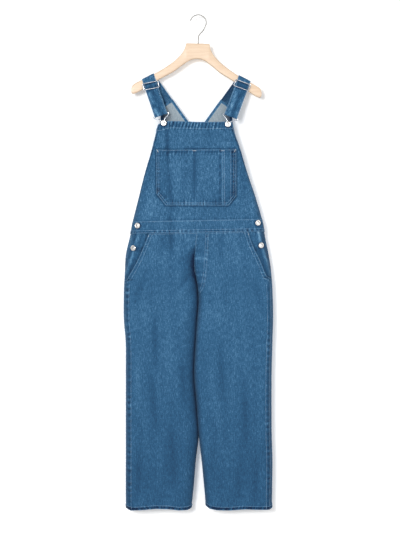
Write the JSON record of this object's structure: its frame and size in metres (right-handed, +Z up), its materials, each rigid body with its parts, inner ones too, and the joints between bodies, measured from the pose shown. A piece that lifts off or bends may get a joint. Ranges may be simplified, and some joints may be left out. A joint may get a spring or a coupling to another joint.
{
  "type": "denim dungarees on a wooden hanger",
  "caption": "Mid-blue wide-leg denim dungarees with a bib pocket, slant pockets and silver wire clips, hung flat on a pale wooden hanger with a wire hook.",
  "frame": {"origin": "inside top of the hanger's hook, where a rail or a peg carries it", "axes": "+Z up, the front of the dungarees faces -Y, +X to the right as seen from the front"},
  "size_m": [0.4547, 0.076, 1.5078],
  "materials": {
    "denim": "washed mid-blue twill denim with tonal topstitching",
    "silver_wire": "bright bent wire",
    "silver_button": "satin silver shank buttons",
    "pale_wood": "pale lacquered wood with fine straight grain",
    "hook_wire": "plain bent wire"
  },
  "bodies": {
    "root": {"bib": "denim", "bib_pocket": "denim", "waistband_front": "denim", "waistband_back": "denim", "front_left": "denim", "front_right": "denim", "back_left": "denim", "back_right": "denim", "back_panel": "denim", "pocket_facing_left": "denim", "pocket_facing_right": "denim", "fly": "denim", "strap_left": "denim", "strap_right": "denim", "slider_left": "silver_wire", "slider_right": "silver_wire", "clip_left": "silver_wire", "clip_right": "silver_wire", "bib_button_left": "silver_button", "bib_button_right": "silver_button", "side_button_left_upper": "silver_button", "side_button_left_lower": "silver_button", "side_button_right_upper": "silver_button", "side_button_right_lower": "silver_button", "hanger_body": "pale_wood", "hanger_hook": "hook_wire"}
  },
  "joints": []
}
